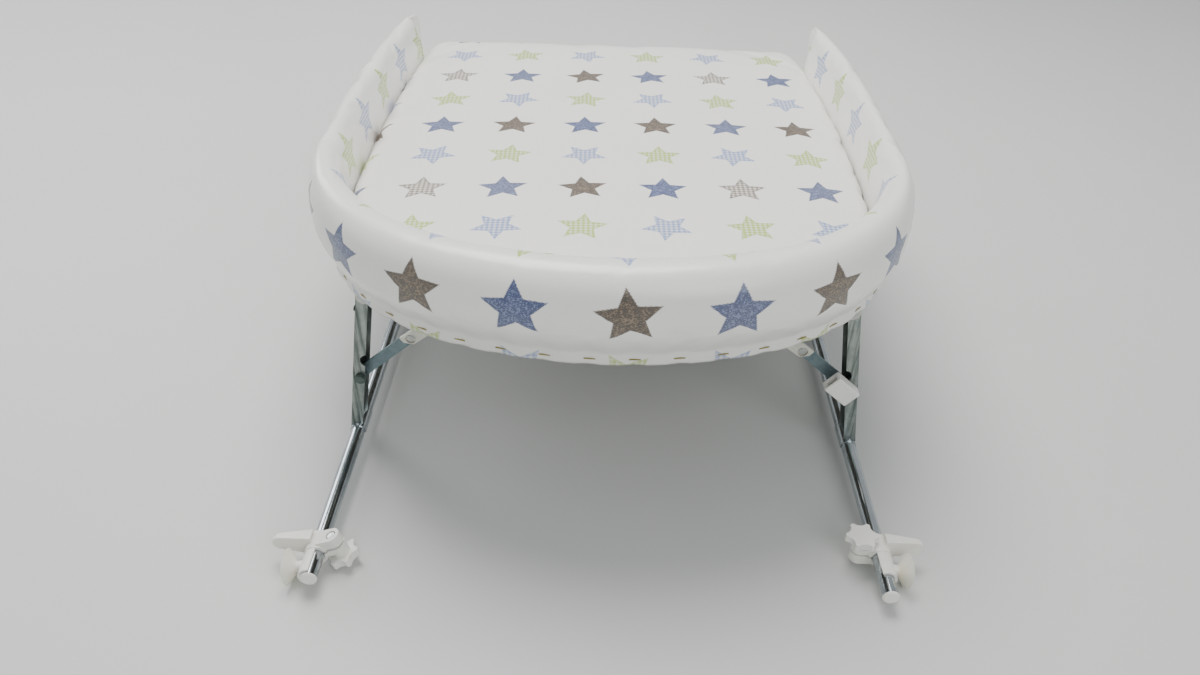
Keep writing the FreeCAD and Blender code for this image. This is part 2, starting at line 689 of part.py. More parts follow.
def make_arm(end):
    """Rest arm: flat on top, round at the tip and thicker towards the ring."""
    tip = dim("arm_reach")
    top = dim("arm_top")
    corner = 8.0
    diagonal = corner / math.sqrt(2)
    blade = new_body("arm")
    profile = [
        Part.LineSegment(Vector(-6, -7, 0), Vector(-6, top, 0)),
        Part.LineSegment(Vector(-6, top, 0), Vector(-tip + corner, top, 0)),
        Part.Arc(Vector(-tip + corner, top, 0), Vector(-tip + corner - diagonal, top - corner + diagonal, 0),
                 Vector(-tip, top - corner, 0)),
        Part.Arc(Vector(-tip, top - corner, 0), Vector(-tip + corner - diagonal, top - corner - diagonal, 0),
                 Vector(-tip + corner, top - 2 * corner, 0)),
        Part.LineSegment(Vector(-tip + corner, top - 2 * corner, 0), Vector(-6, -7, 0)),
    ]
    root = dim("arm_root") - 3.5
    start = min(end * 3.5, -end * root)
    pad(blade, sketch(blade, "XZ_Plane", profile, -start), "dims.arm_root", reverse=True)
    flank = placed(-6, -end * root, -15, (0, 0, 1), 180.0 - end * 11.2)
    beyond = placed(0, -20.0 if end < 0 else 0.0)
    return cut(blade, box("60", "20", "45", flank.multiply(beyond)))


def make_clamp(label, y, end, way, tilt, droop):
    """Split ring with jaws, a half sleeve towards the rail's end and an arm.
    end is the way the sleeve points, way the side of the jaws the knob is on."""
    half = dim("clamp_width") / 2
    sleeve = dim("sleeve_length")
    offset = dim("bolt_offset")
    jaw = jaw_frame(tilt)
    ring = cylinder("dims.clamp_radius", "dims.clamp_width", along(-half))
    sleeve_start = half if end > 0 else -half - sleeve
    opening = placed(axis=(0, 1, 0), angle=25.0 - 1.2 * tilt)
    opening = opening.multiply(placed(0.5, sleeve_start - 1, -30))
    shell = cut(cylinder("dims.sleeve_radius", "dims.sleeve_length", along(sleeve_start)),
                box("30", "dims.sleeve_length + 2", "60", opening))
    low = -dim("lug_height") if way < 0 else -dim("lug_top")
    high = low + dim("lug_height") + dim("lug_top")
    lug_end = cylinder("dims.lug_radius", "dims.lug_height + dims.lug_top",
                       jaw.multiply(placed(offset, 0, low)))
    lug = box("dims.bolt_offset - 4", "2 * dims.lug_radius", "dims.lug_height + dims.lug_top",
              jaw.multiply(placed(4.0, -dim("lug_radius"), low)))
    boss = cylinder("5.5", "dims.cup_seat - 6", cup_frame(end, droop).multiply(placed(0, 0, 6.0)))
    solid = fuse(ring, shell, lug_end, lug, boss, make_arm(end))
    bore = cylinder("dims.clamp_bore", "dims.clamp_width + 2 * dims.sleeve_length + 4",
                    along(-half - sleeve - 2))
    slit = box("40", "dims.clamp_width + 4", "dims.clamp_slit",
               jaw.multiply(placed(4.0, -half - 2, -dim("clamp_slit") / 2)))
    hole = cylinder("dims.bolt_radius + 0.1", "40", jaw.multiply(placed(offset, 0, -20)))
    recess_start = dim("lug_height") if way < 0 else low - 1
    recess = cylinder("dims.recess_radius", "dims.lug_top - dims.lug_height + 1",
                      jaw.multiply(placed(offset, 0, recess_start)))
    return finish(label, cut(solid, bore, slit, hole, recess), clamp_frame(y))


def cup_profile():
    """Half section of a suction cup, stem at z = 0 and lip at the far end."""
    lip = dim("cup_radius")
    return [(0, 0), (5.5, 0), (5.5, 2.5), (8.0, 4.2), (12.0, 6.8), (lip - 1.4, 10.8), (lip, 12.0),
            (lip - 1.1, 12.6), (11.4, 9.2), (7.0, 6.6), (0, 5.6)]


def make_cup(label, y, end, droop):
    cup = revolve_profile(label, cup_profile())
    seat = cup_frame(end, droop).multiply(placed(0, 0, dim("cup_seat")))
    return finish(label, cup, clamp_frame(y).multiply(seat))


def star_outline(lobes, big, small):
    """Star with blunt points and hollow flanks between them."""
    geometry = []
    blunt = math.radians(7.0)
    step = 2 * math.pi / lobes

    def at(radius, turn):
        return Vector(radius * math.cos(turn), radius * math.sin(turn), 0)

    for n in range(lobes):
        turn = n * step
        after = at(big, turn + blunt)
        following = at(big, turn + step - blunt)
        geometry += [Part.Arc(at(big, turn - blunt), at(big + 0.3, turn), after),
                     Part.Arc(after, at(small, turn + step / 2), following)]
    return geometry


def make_knob(label, y, way, tilt):
    """Six-pointed nut on a neck that turns on the clamp bolt."""
    body = new_body(label)
    neck = sketch(body, "XY_Plane", circle(0, 0, dim("knob_neck_radius")))
    pad(body, neck, "dims.knob_neck")
    big = dim("knob_radius") - 0.3
    star = sketch(body, "XY_Plane", star_outline(6, big, 0.76 * big), dim("knob_neck"))
    pad(body, star, "dims.knob_depth")
    bore = sketch(body, "XY_Plane", circle(0, 0, dim("bolt_radius") + dim("pin_fit")))
    pocket(body, bore, "dims.knob_neck + dims.knob_depth - 3", reverse=True)
    turn = placed(axis=(1, 0, 0), angle=0.0 if way > 0 else 180.0)
    seat = placed(dim("bolt_offset"), 0, way * (dim("lug_height") + dim("knob_gap"))).multiply(turn)
    return finish(label, body, clamp_frame(y).multiply(jaw_frame(tilt)).multiply(seat))


def make_bolt(label, y, way, tilt):
    """Hexagon head bolt whose head sits in the recess opposite the knob."""
    body = new_body(label)
    radius = dim("bolt_head_radius")
    hexagon = [(radius * math.cos(math.radians(60 * n)), radius * math.sin(math.radians(60 * n)))
               for n in range(6)]
    pad(body, sketch(body, "XY_Plane", polygon(hexagon)), "dims.bolt_head_depth", reverse=True)
    shank = sketch(body, "XY_Plane", circle(0, 0, dim("bolt_radius")))
    pad(body, shank, "2 * dims.lug_height + dims.knob_neck + dims.knob_depth - 4")
    turn = placed(axis=(1, 0, 0), angle=0.0 if way > 0 else 180.0)
    seat = placed(dim("bolt_offset"), 0, -way * dim("lug_height")).multiply(turn)
    return finish(label, body, clamp_frame(y).multiply(jaw_frame(tilt)).multiply(seat))


# ------------------------------------------------------------------ assembly
def turned(label, source):
    """The same piece on the other side, half a turn about the vertical axis."""
    return repeat(label, source, HALF_TURN)


def build():
    make_board()
    make_skirt()
    make_staples()
    make_pad()
    make_rim()
    for side, name in ((-1, "left"), (1, "right")):
        make_rail("rail_" + name, side)
        make_rail_caps("rail_caps_" + name, side)
    for grouped, name in ((make_leg_pins, "brace_leg_pins"), (make_saddles, "leg_saddles"),
                          (make_bumpers, "bumper_studs")):
        turned(name + "_right", grouped(name + "_left"))
    finish("leg_hinge_pins", both_sides(hinge_pins))
    finish("brace_pivot_pins", both_sides(pivot_pins))
    finish("bracket_screws", both_sides(bracket_screws))
    hinge_y = dim("hinge_y")
    # each left piece, and the right piece that is the same turned by half a turn
    for left, right, way in (("front_left", "rear_right", -1), ("rear_left", "front_right", 1)):
        y = way * hinge_y
        turned("leg_" + right, make_leg("leg_" + left, y, way))
        turned("leg_bracket_" + right, make_leg_bracket("leg_bracket_" + left, y))
        turned("brace_bracket_" + right, make_brace_bracket("brace_bracket_" + left, y, way))
        turned("lower_link_" + right, make_lower_link("lower_link_" + left, y, way))
        turned("upper_link_" + right, make_upper_link("upper_link_" + left, y, way))
        turned("knee_rivet_" + right, make_knee_rivet("knee_rivet_" + left, y, way))
    turned("lock_block_front_right", make_lock("lock_block_rear_left"))
    build_clamps()


def build_clamps():
    """Front left clamp with the knob below and its jaws turned up a little;
    rear left clamp with the knob on top.  The right ones are these two turned."""
    for left, right, end, way, tilt, droop in (
            ("front_left", "rear_right", -1, -1, 20.0, 5.0),
            ("rear_left", "front_right", 1, 1, 0.0, 5.0)):
        y = end * dim("front_clamp_left_y" if end < 0 else "front_clamp_right_y")
        turned("clamp_" + right, make_clamp("clamp_" + left, y, end, way, tilt, droop))
        turned("suction_cup_" + right, make_cup("suction_cup_" + left, y, end, droop))
        turned("star_knob_" + right, make_knob("star_knob_" + left, y, way, tilt))
        turned("clamp_bolt_" + right, make_bolt("clamp_bolt_" + left, y, way, tilt))


build()
doc.recompute()


def check_and_export():
    for obj in doc.Objects:
        if "Invalid" in obj.State or "Error" in obj.State:
            raise RuntimeError("%s (%s) failed: %s" % (obj.Name, obj.Label, obj.State))
    os.makedirs("parts", exist_ok=True)
    for obj in FINAL:
        shape = obj.Shape
        if shape.isNull() or not shape.isValid() or not shape.Solids:
            raise RuntimeError("%s has no valid shape" % obj.Label)
        shape.exportStep("parts/%s.step" % obj.Label)
    print("wrote", len(FINAL), "parts")


check_and_export()
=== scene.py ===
"""Looks of the bathtub changing top: printed vinyl cushion, steel legs, plastic clamps.

Metres, +Z up, -Y the closed end of the rim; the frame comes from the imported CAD.
"""
import math

import bmesh
import bpy
from mathutils import Matrix, Vector, noise


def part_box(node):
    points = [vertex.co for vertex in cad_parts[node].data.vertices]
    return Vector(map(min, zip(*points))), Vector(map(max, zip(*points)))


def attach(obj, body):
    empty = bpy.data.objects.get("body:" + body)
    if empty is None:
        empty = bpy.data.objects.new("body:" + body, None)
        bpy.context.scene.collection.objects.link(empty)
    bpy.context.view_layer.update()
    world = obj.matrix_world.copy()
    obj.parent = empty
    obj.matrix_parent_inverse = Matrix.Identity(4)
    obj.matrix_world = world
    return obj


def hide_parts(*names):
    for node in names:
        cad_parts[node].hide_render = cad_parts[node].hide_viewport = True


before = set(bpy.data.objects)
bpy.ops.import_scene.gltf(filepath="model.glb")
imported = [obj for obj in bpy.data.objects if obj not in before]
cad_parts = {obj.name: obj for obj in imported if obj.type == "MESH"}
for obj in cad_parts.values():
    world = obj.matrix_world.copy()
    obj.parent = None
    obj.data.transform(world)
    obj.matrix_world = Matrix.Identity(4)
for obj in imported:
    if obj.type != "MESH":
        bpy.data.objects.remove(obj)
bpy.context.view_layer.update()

PAD_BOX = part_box("pad_foam")
RIM_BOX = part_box("rim_foam")
SKIRT_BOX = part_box("cover_skirt")
BOARD_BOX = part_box("base_board")
TOP_Z = RIM_BOX[1][2]
BAND_TOP = BOARD_BOX[1][2] + 0.0015                # the rim's foam starts just above the board
FOLD_Z = BAND_TOP + 0.021                          # where the foam's lower edge bends the cover
LIP_Z = SKIRT_BOX[0][2]


# ------------------------------------------------------------------ node tools
class Nodes:
    """Short way to write a material's node tree."""

    def __init__(self, name):
        self.material = bpy.data.materials.new(name)
        self.material.use_nodes = True
        self.tree = self.material.node_tree
        self.tree.nodes.clear()
        self.output = self.node("ShaderNodeOutputMaterial")
        self.shader = self.node("ShaderNodeBsdfPrincipled")
        self.link(self.shader.outputs[0], self.output.inputs[0])

    def node(self, kind, **settings):
        made = self.tree.nodes.new(kind)
        for name, value in settings.items():
            setattr(made, name, value)
        return made

    def link(self, source, target):
        self.tree.links.new(source, target)

    def put(self, socket, value):
        """Link an output, or set a plain number or colour."""
        if isinstance(value, bpy.types.NodeSocket):
            self.link(value, socket)
        else:
            socket.default_value = value

    def math(self, operation, a, b=None, c=None, clamp=False):
        made = self.node("ShaderNodeMath", operation=operation, use_clamp=clamp)
        for socket, value in zip(made.inputs, (a, b, c)):
            if value is not None:
                self.put(socket, value)
        return made.outputs[0]

    def mix(self, factor, a, b):
        made = self.node("ShaderNodeMix", data_type="RGBA")
        self.put(made.inputs["Factor"], factor)
        self.put(made.inputs[6], a)
        self.put(made.inputs[7], b)
        return made.outputs[2]

    def step(self, value, low, high, start=0.0, end=1.0):
        """Smooth change from start to end as value goes from low to high."""
        made = self.node("ShaderNodeMapRange", interpolation_type="SMOOTHSTEP")
        for socket, number in zip(made.inputs, (value, low, high, start, end)):
            self.put(socket, number)
        return made.outputs[0]

    def noise(self, vector, scale, detail=4.0, roughness=0.5):
        made = self.node("ShaderNodeTexNoise")
        self.put(made.inputs["Vector"], vector)
        self.put(made.inputs["Scale"], scale)
        self.put(made.inputs["Detail"], detail)
        self.put(made.inputs["Roughness"], roughness)
        return made.outputs[0]

    def coordinates(self):
        return self.node("ShaderNodeTexCoord").outputs["Object"]

    def bump(self, height, distance, strength=1.0, normal=None):
        made = self.node("ShaderNodeBump")
        self.put(made.inputs["Height"], height)
        self.put(made.inputs["Distance"], distance)
        self.put(made.inputs["Strength"], strength)
        if normal is not None:
            self.link(normal, made.inputs["Normal"])
        return made.outputs[0]

    def set(self, **values):
        """Set sockets of the Principled shader by name, with _ for a space."""
        for name, value in values.items():
            self.put(self.shader.inputs[name.replace("_", " ")], value)


def rgb(red, green, blue):
    """Linear colour from 0-255 sRGB numbers."""
    def linear(value):
        value /= 255.0
        return value / 12.92 if value <= 0.04045 else ((value + 0.055) / 1.055) ** 2.4
    return (linear(red), linear(green), linear(blue), 1.0)


# ------------------------------------------------------------- printed vinyl
VINYL_WHITE = rgb(246, 244, 240)
BLUE_DARK, BLUE_LIGHT = rgb(40, 56, 108), rgb(116, 132, 174)
BROWN_DARK, BROWN_LIGHT = rgb(48, 34, 20), rgb(132, 110, 84)
GREEN, PALE_BLUE = rgb(160, 192, 0), rgb(112, 138, 196)
CHECK_BROWN = rgb(112, 92, 66)
STAR_WAIST = 0.47                                  # radius of a star's valleys over that of its points
CHECKS = 17.0                                      # stripes of the gingham in one pitch of the print


def star_distance(n, x, y, radius):
    """Distance from the edge of an upright five-point star; negative inside."""
    point = 2 * math.pi / 5
    half = point / 2
    valley = STAR_WAIST * Vector((math.cos(half), math.sin(half)))
    along = (valley - Vector((1.0, 0.0))).normalized()
    normal = Vector((along.y, -along.x))
    if normal.x < 0:
        normal = -normal
    facing = math.atan2(normal.y, normal.x)
    length = n.math("SQRT", n.math("ADD", n.math("MULTIPLY", x, x), n.math("MULTIPLY", y, y)))
    angle = n.math("ARCTAN2", x, y)
    folded = n.math("ABSOLUTE", n.math("SUBTRACT", n.math("FRACT", n.math(
        "ADD", n.math("DIVIDE", angle, point), 0.5)), 0.5))
    off = n.math("SUBTRACT", n.math("MULTIPLY", folded, point), facing)
    reach = n.math("MULTIPLY", length, n.math("COSINE", off))
    return n.math("SUBTRACT", reach, radius * math.cos(facing))


def star_print(n, u, v, radius, brown_checks, stretch=1.0):
    """Colour of the printed cloth: u and v count columns and rows from the
    centre of a star.  Even rows hold gingham stars, odd rows speckled ones,
    and stretch makes the stars taller than the rows' pitch asks."""
    column = n.math("ROUND", u)
    row = n.math("ROUND", v)
    from_odd = n.math("ABSOLUTE", n.math("SUBTRACT", n.math("WRAP", row, 2.0, 0.0), 1.0))
    odd_row = n.math("LESS_THAN", from_odd, 0.5)
    late = n.math("GREATER_THAN", n.math("WRAP", row, 4.0, 0.0), 1.5)
    odd_column = n.math("GREATER_THAN", n.math("WRAP", column, 2.0, 0.0), 0.5)
    flip = n.math("ABSOLUTE", n.math("SUBTRACT", odd_column, late))
    # a cell's own small turn; on the pad only the blue gingham stars are upside down
    seed = n.node("ShaderNodeTexWhiteNoise", noise_dimensions="2D")
    pair = n.node("ShaderNodeCombineXYZ")
    n.put(pair.inputs[0], column)
    n.put(pair.inputs[1], row)
    n.link(pair.outputs[0], seed.inputs[0])
    gingham = n.math("SUBTRACT", 1.0, odd_row)
    upside_down = n.math("MULTIPLY", flip, gingham) if brown_checks else gingham
    turn = n.math("ADD", n.math("MULTIPLY", n.math("SUBTRACT", seed.outputs[0], 0.5), 0.30),
                  n.math("MULTIPLY", upside_down, math.pi))
    dx = n.math("SUBTRACT", u, column)
    dy = n.math("DIVIDE", n.math("SUBTRACT", v, row), stretch)
    sine, cosine = n.math("SINE", turn), n.math("COSINE", turn)
    x = n.math("SUBTRACT", n.math("MULTIPLY", dx, cosine), n.math("MULTIPLY", dy, sine))
    y = n.math("ADD", n.math("MULTIPLY", dx, sine), n.math("MULTIPLY", dy, cosine))
    distance = star_distance(n, x, y, radius)
    # hand-cut edge: the outline wanders a little
    plane = n.node("ShaderNodeCombineXYZ")
    n.put(plane.inputs[0], u)
    n.put(plane.inputs[1], v)
    grain = n.noise(plane.outputs[0], 60.0, 2.0)
    distance = n.math("ADD", distance, n.math("MULTIPLY", n.math("SUBTRACT", grain, 0.5), 0.012))
    inside = n.step(distance, -0.004, 0.004, 1.0, 0.0)
    # speckled fill
    cells = n.node("ShaderNodeTexVoronoi", feature="F1")
    n.link(plane.outputs[0], cells.inputs["Vector"])
    cells.inputs["Scale"].default_value = 62.0
    blotch = n.math("ADD", n.math("MULTIPLY", n.noise(plane.outputs[0], 16.0, 3.0), 0.55),
                    n.math("MULTIPLY", cells.outputs["Distance"], 0.62))
    speckle = n.step(blotch, 0.48, 0.86)
    dark = n.mix(flip, BROWN_DARK, BLUE_DARK)
    light = n.mix(flip, BROWN_LIGHT, BLUE_LIGHT)
    solid = n.mix(speckle, dark, light)
    # gingham fill: two crossing sets of stripes
    stripes = []
    for axis in (dx, dy):
        wave = n.math("SINE", n.math("MULTIPLY", axis, 2 * math.pi * CHECKS))
        stripes.append(n.step(wave, -0.25, 0.25))
    weave = n.math("MULTIPLY", n.math("ADD", stripes[0], stripes[1]), 0.5)
    tint = n.mix(flip, GREEN, PALE_BLUE)
    check = n.mix(n.math("ADD", n.math("MULTIPLY", weave, 0.74), 0.26), VINYL_WHITE, tint)
    if brown_checks:
        # every other brown star of every other speckled row is checked brown
        quarter = n.math("WRAP", n.math("ADD", column, row), 4.0, 0.0)
        from_checked = n.math("ABSOLUTE", n.math("SUBTRACT", quarter, 3.0))
        swap = n.math("MULTIPLY", n.math("LESS_THAN", from_checked, 0.5), n.math("SUBTRACT", 1.0, flip))
        brown_check = n.mix(n.math("ADD", n.math("MULTIPLY", weave, 0.74), 0.24), VINYL_WHITE, CHECK_BROWN)
        solid = n.mix(swap, solid, brown_check)
    fill = n.mix(odd_row, check, solid)
    # running stitch printed just inside the edge
    slanted = n.math("MULTIPLY", n.math("ADD", x, n.math("MULTIPLY", y, 1.7)), 150.0)
    dashes = n.step(n.math("SINE", slanted), -0.2, 0.3)
    band = n.math("MULTIPLY", n.step(distance, -0.030, -0.020), n.step(distance, -0.002, 0.012, 1.0, 0.0))
    stitch = n.math("MULTIPLY", band, dashes)
    fill = n.mix(n.math("MULTIPLY", stitch, 0.75), fill, n.mix(odd_row, tint, dark))
    stitched = n.math("MAXIMUM", inside, n.math("MULTIPLY", stitch, 0.9))
    return n.mix(n.math("MULTIPLY", stitched, 0.94), VINYL_WHITE, fill)


def vinyl_surface(n, colour, vector):
    """Gloss and fine grain of PVC-coated cloth over foam, greyed with painted shade
    in the recessed band where the cover is pulled down round the board."""
    soil = n.noise(vector, 7.0, 5.0, 0.6)
    soil_and_painted_shade = n.mix(n.step(soil, 0.35, 0.75, 0.0, 0.08), colour, rgb(218, 213, 204))
    split = n.node("ShaderNodeSeparateXYZ")
    n.link(vector, split.inputs[0])
    # painted shade: the band below the fold, in the recess under the foam's bulge, is mixed towards grey
    band = n.step(split.outputs[2], BAND_TOP, FOLD_Z, 1.0, 0.0)
    soil_and_painted_shade = n.mix(n.math("MULTIPLY", band, 0.30), soil_and_painted_shade, rgb(186, 187, 178))
    n.set(Base_Color=soil_and_painted_shade, Roughness=n.step(n.noise(vector, 14.0, 3.0), 0.3, 0.7, 0.28, 0.38),
          IOR=1.48, Coat_Weight=0.35, Coat_Roughness=0.18)
    n.set(Subsurface_Weight=0.06, Subsurface_Radius=(0.004, 0.003, 0.002), Subsurface_Scale=1.0)
    pebble = n.node("ShaderNodeTexVoronoi", feature="SMOOTH_F1")
    n.link(vector, pebble.inputs["Vector"])
    pebble.inputs["Scale"].default_value = 900.0
    fine = n.bump(pebble.outputs["Distance"], 0.00006, 0.6)
    broad = n.bump(n.noise(vector, 32.0, 3.0), 0.0005, 0.5, fine)
    n.link(broad, n.shader.inputs["Normal"])


PAD_COLUMN, PAD_ROW = 0.0890, 0.0844      # print pitch across and along the pad
PAD_SHIFT_X, PAD_SHIFT_Y = 0.034, 0.206   # of the print on the pad
PAD_LEAN, PAD_SKEW = 0.02, 0.045          # slope of its columns and rows
RIM_COLUMN, RIM_ROW = 0.1010, 0.0790      # the cloth is stretched over the rim
RIM_SHIFT = 0.017                         # of the first column from the rim's middle
RIM_FIRST_ROW = -0.013                    # of the stars that the board's lower edge cuts
RIM_STRETCH = 1.14                        # height of a rim star over that of its row
STAR_RADIUS = 0.315                       # of a star, in pitches


def pad_vinyl():
    """Print laid flat on the pad, a little askew as it is pulled over the foam."""
    n = Nodes("printed_vinyl_pad")
    vector = n.coordinates()
    split = n.node("ShaderNodeSeparateXYZ")
    n.link(vector, split.inputs[0])
    x, y = split.outputs[0], split.outputs[1]
    across = n.math("ADD", x, n.math("MULTIPLY", y, PAD_LEAN))
    along = n.math("SUBTRACT", y, n.math("MULTIPLY", x, PAD_SKEW))
    u = n.math("DIVIDE", n.math("ADD", across, PAD_SHIFT_X), PAD_COLUMN)
    v = n.math("DIVIDE", n.math("ADD", along, PAD_SHIFT_Y), PAD_ROW)
    vinyl_surface(n, star_print(n, u, v, STAR_RADIUS, True), vector)
    return n.material


def plain_vinyl():
    """The cover's turned-down edge at the rear, where no print shows."""
    n = Nodes("plain_vinyl")
    vinyl_surface(n, VINYL_WHITE, n.coordinates())
    return n.material


def rim_vinyl():
    """Print along the rim; its map holds metres along and across the rim."""
    n = Nodes("printed_vinyl_rim")
    split = n.node("ShaderNodeSeparateXYZ")
    n.link(n.node("ShaderNodeUVMap", uv_map="print").outputs[0], split.inputs[0])
    u = n.math("DIVIDE", n.math("SUBTRACT", split.outputs[0], RIM_SHIFT), RIM_COLUMN)
    v = n.math("DIVIDE", n.math("SUBTRACT", split.outputs[1], RIM_FIRST_ROW), RIM_ROW)
    vinyl_surface(n, star_print(n, u, v, STAR_RADIUS, False, RIM_STRETCH), n.coordinates())
    return n.material


# ----------------------------------------------------------- other materials
def galvanised():
    n = Nodes("galvanised_steel")
    vector = n.coordinates()
    spangle = n.node("ShaderNodeTexVoronoi", feature="F1")
    n.link(vector, spangle.inputs["Vector"])
    spangle.inputs["Scale"].default_value = 120.0
    streak = n.node("ShaderNodeMapping")
    n.link(vector, streak.inputs["Vector"])
    streak.inputs["Scale"].default_value = (260.0, 260.0, 9.0)
    lines = n.noise(streak.outputs[0], 1.0, 4.0, 0.6)
    tone = n.mix(n.step(spangle.outputs["Color"], 0.0, 1.0), rgb(146, 154, 150), rgb(164, 171, 166))
    tone = n.mix(n.step(lines, 0.40, 0.66, 0.0, 0.85), tone, rgb(82, 92, 90))
    n.set(Base_Color=tone, Metallic=0.85, Roughness=n.step(lines, 0.3, 0.7, 0.32, 0.48))
    n.link(n.bump(lines, 0.0001, 0.5), n.shader.inputs["Normal"])
    return n.material


def zinc(name, base, dark, gloss=0.32):
    n = Nodes(name)
    vector = n.coordinates()
    cloud = n.noise(vector, 60.0, 5.0, 0.6)
    tone = n.mix(n.step(cloud, 0.35, 0.7), base, dark)
    n.set(Base_Color=tone, Metallic=0.75, Roughness=n.step(cloud, 0.3, 0.7, gloss, gloss + 0.14))
    n.link(n.bump(n.noise(vector, 700.0, 2.0), 0.00005, 0.5), n.shader.inputs["Normal"])
    return n.material


def chrome():
    n = Nodes("chrome_tube")
    vector = n.coordinates()
    smear = n.noise(vector, 25.0, 4.0, 0.6)
    tone = n.mix(n.step(smear, 0.4, 0.7), rgb(186, 192, 196), rgb(158, 165, 170))
    n.set(Base_Color=tone, Metallic=1.0, Roughness=n.step(smear, 0.35, 0.75, 0.09, 0.20))
    n.link(n.bump(n.noise(vector, 500.0, 2.0), 0.00002, 0.4), n.shader.inputs["Normal"])
    return n.material


def plastic():
    n = Nodes("moulded_plastic")
    vector = n.coordinates()
    cloud = n.noise(vector, 45.0, 4.0)
    tone = n.mix(n.step(cloud, 0.35, 0.75, 0.0, 0.4), rgb(240, 238, 232), rgb(226, 222, 212))
    n.set(Base_Color=tone, Roughness=n.step(cloud, 0.3, 0.7, 0.34, 0.46), IOR=1.5)
    n.set(Subsurface_Weight=0.12, Subsurface_Radius=(0.003, 0.0025, 0.002), Subsurface_Scale=1.0)
    n.link(n.bump(n.noise(vector, 1400.0, 2.0), 0.00004, 0.5), n.shader.inputs["Normal"])
    return n.material


def soft_cup():
    n = Nodes("soft_cream_pvc")
    vector = n.coordinates()
    cloud = n.noise(vector, 70.0, 3.0)
    tone = n.mix(n.step(cloud, 0.3, 0.7), rgb(252, 247, 234), rgb(246, 238, 220))
    n.set(Base_Color=tone, Roughness=0.28, IOR=1.5, Transmission_Weight=0.10)
    n.set(Subsurface_Weight=0.4, Subsurface_Radius=(0.006, 0.005, 0.003), Subsurface_Scale=1.0)
    n.link(n.bump(cloud, 0.0001, 0.4), n.shader.inputs["Normal"])
    return n.material


def black_rubber():
    n = Nodes("black_rubber")
    vector = n.coordinates()
    cloud = n.noise(vector, 300.0, 3.0)
    n.set(Base_Color=n.mix(cloud, rgb(22, 22, 23), rgb(44, 44, 45)), Roughness=0.62)
    n.link(n.bump(cloud, 0.0001, 0.5), n.shader.inputs["Normal"])
    return n.material


def brass_wire():
    n = Nodes("staple_wire")
    vector = n.coordinates()
    cloud = n.noise(vector, 400.0, 3.0)
    n.set(Base_Color=n.mix(cloud, rgb(122, 112, 66), rgb(166, 152, 92)), Metallic=0.8, Roughness=0.38)
    n.link(n.bump(cloud, 0.00004, 0.4), n.shader.inputs["Normal"])
    return n.material


def fibreboard():
    n = Nodes("fibreboard")
    vector = n.coordinates()
    fibres = n.node("ShaderNodeMapping")
    n.link(vector, fibres.inputs["Vector"])
    fibres.inputs["Scale"].default_value = (220.0, 60.0, 400.0)
    strands = n.noise(fibres.outputs[0], 1.0, 6.0, 0.7)
    tone = n.mix(n.step(strands, 0.35, 0.7), rgb(112, 110, 102), rgb(88, 86, 80))
    n.set(Base_Color=tone, Roughness=0.72)
    n.link(n.bump(strands, 0.0003, 0.5), n.shader.inputs["Normal"])
    return n.material


def assign(obj, material):
    obj.data.materials.clear()
    obj.data.materials.append(material)


def dress_cad_nodes():
    """Give every carried-over CAD node its finish, by the start of its name."""
    white = plastic()
    bright = zinc("bright_zinc", rgb(212, 209, 196), rgb(188, 184, 170))
    cream = zinc("cream_zinc", rgb(228, 226, 216), rgb(208, 206, 196), 0.40)
    pins = zinc("zinc_pins", rgb(200, 201, 200), rgb(166, 168, 168), 0.22)
    dark = zinc("dark_pins", rgb(96, 108, 104), rgb(70, 80, 78), 0.34)
    tube = chrome()
    finishes = {
        "base_board": fibreboard(), "cover_skirt": plain_vinyl(), "staples": brass_wire(),
        "rail_caps": white, "rail_": tube, "leg_saddles": tube,
        "leg_hinge_pins": pins, "brace_leg_pins": dark, "brace_pivot_pins": pins, "bracket_screws": pins,
        "knee_rivet": pins, "clamp_bolt": pins, "leg_bracket": bright, "brace_bracket": bright,
        "upper_link": cream, "leg_": galvanised(),
        "lower_link": zinc("blue_zinc", rgb(126, 143, 148), rgb(104, 121, 128), 0.36),
        "lock_block": white, "clamp_": white, "star_knob": white, "suction_cup": soft_cup(),
        "bumper_studs": black_rubber(),
    }
    for name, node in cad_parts.items():
        match = max((key for key in finishes if name.startswith(key)), key=len, default=None)
        if match:
            assign(node, finishes[match])


# -------------------------------------------------------- outline of the mat
BOW, CORNER, SIDE = 0.450, 0.262, 3.000            # radii of the outer outline's arcs
BOW_TURN, CORNER_TURN = math.radians(19.5), math.radians(86.8)
RIM_SIDE_THICK, RIM_FRONT_THICK = 0.033, 0.066     # thickness of the cushion wall
SKIRT_INSET = 0.0132                               # the board's covered edge, in from the rim
FRONT_Y = RIM_BOX[0][1]
REAR_Y = RIM_BOX[1][1]


def arc_centres():
    bow = Vector((0, FRONT_Y + BOW))
    corner = bow + (BOW - CORNER) * Vector((math.sin(BOW_TURN), -math.cos(BOW_TURN)))
    side = corner + (CORNER - SIDE) * Vector((math.sin(CORNER_TURN), -math.cos(CORNER_TURN)))
    return bow, corner, side


CENTRES = arc_centres()
END_TURN = math.pi / 2 + math.asin((REAR_Y - CENTRES[2].y) / SIDE)
BOW_LENGTH = BOW * BOW_TURN
CORNER_LENGTH = CORNER * (CORNER_TURN - BOW_TURN)
HALF_LENGTH = BOW_LENGTH + CORNER_LENGTH + SIDE * (END_TURN - CORNER_TURN)


